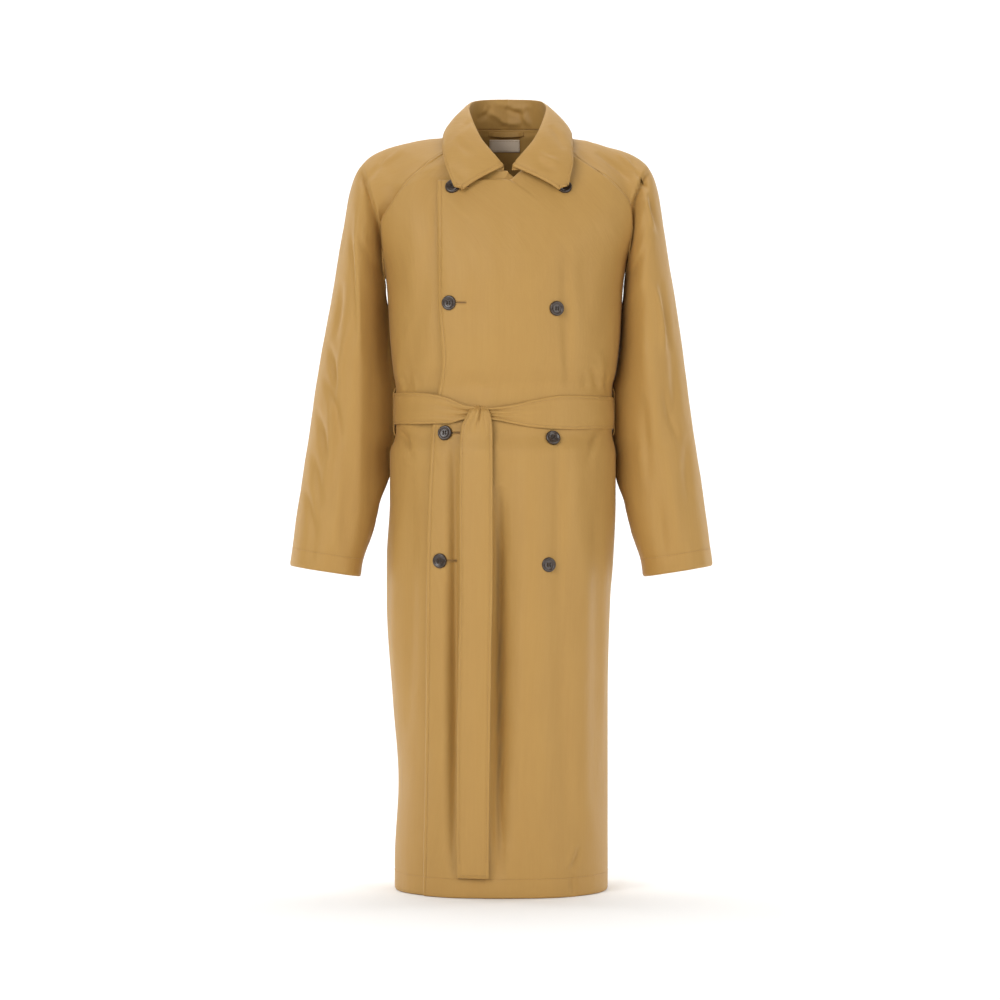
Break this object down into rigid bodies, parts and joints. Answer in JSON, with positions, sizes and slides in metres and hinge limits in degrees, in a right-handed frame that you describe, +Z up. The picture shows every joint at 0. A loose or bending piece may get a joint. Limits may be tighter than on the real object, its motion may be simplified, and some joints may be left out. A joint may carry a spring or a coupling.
{
  "type": "trench coat",
  "caption": "double-breasted trench coat with raglan sleeves, turn-down collar and tied belt, standing filled out and hollow",
  "frame": {"origin": "at the height of the neck's base, midway between the shoulders, where the wearer's neck and shoulders hold the coat", "axes": "+Z up along the coat's length, -Y the front, +X the right as seen from the front"},
  "size_m": [0.684, 0.2936, 1.286],
  "materials": {
    "coat_cloth": "smooth tightly woven cotton coating with a soft sheen",
    "button_horn": "dark horn-like four-hole buttons, polished",
    "label_cloth": "bare woven label"
  },
  "bodies": {
    "root": {"back": "coat_cloth", "front_over": "coat_cloth", "front_under": "coat_cloth", "sleeve_left": "coat_cloth", "sleeve_right": "coat_cloth", "collar_stand": "coat_cloth", "collar_leaf": "coat_cloth", "belt_band": "coat_cloth", "belt_knot": "coat_cloth", "belt_tail_front": "coat_cloth", "belt_tail_back": "coat_cloth", "belt_loop_left": "coat_cloth", "belt_loop_right": "coat_cloth", "button_1_left": "button_horn", "button_1_right": "button_horn", "button_2_left": "button_horn", "button_2_right": "button_horn", "button_3_left": "button_horn", "button_3_right": "button_horn", "button_4_left": "button_horn", "button_4_right": "button_horn", "label": "label_cloth", "hanger_loop": "coat_cloth"}
  },
  "joints": []
}
